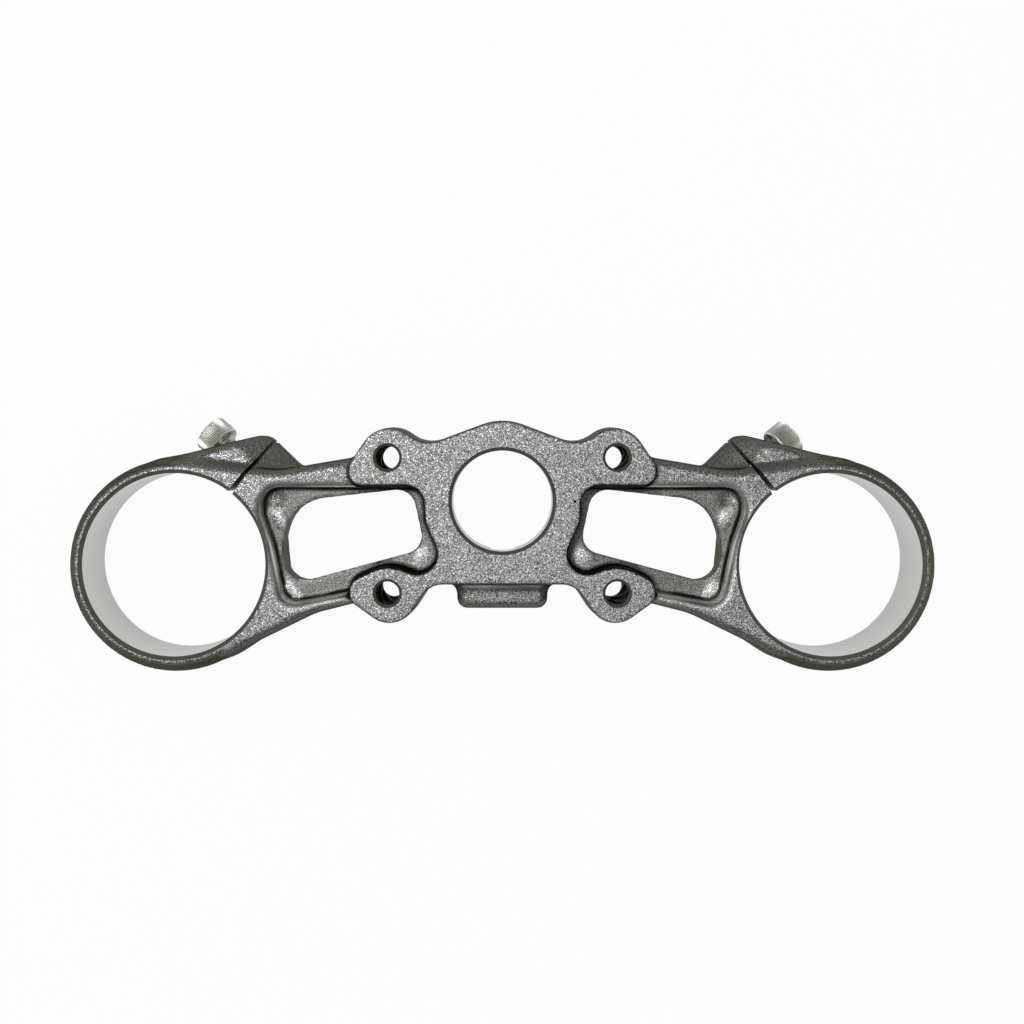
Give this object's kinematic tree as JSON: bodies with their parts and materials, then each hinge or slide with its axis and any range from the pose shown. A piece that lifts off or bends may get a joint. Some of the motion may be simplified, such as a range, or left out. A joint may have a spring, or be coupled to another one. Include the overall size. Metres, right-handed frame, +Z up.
{
  "type": "motorcycle triple clamp",
  "caption": "Cast fork yoke with two split ring clamps, a raised centre plate with a stem bore, tapped riser holes and loosely fitted pinch bolts.",
  "frame": {"origin": "middle of the stem bore", "axes": "+Z up along the stem bore, +X from the left to the right fork clamp, +Y to the rear, where the pinch ears are"},
  "size_m": [0.2514, 0.0725, 0.0285],
  "materials": {
    "cast_alloy": "cast, with a grainy satin grey coat and bare machined bores",
    "zinc_steel": "zinc plated, satin"
  },
  "bodies": {
    "root": {"yoke": "cast_alloy", "pinch_bolt_left": "zinc_steel", "pinch_bolt_right": "zinc_steel"}
  },
  "joints": []
}
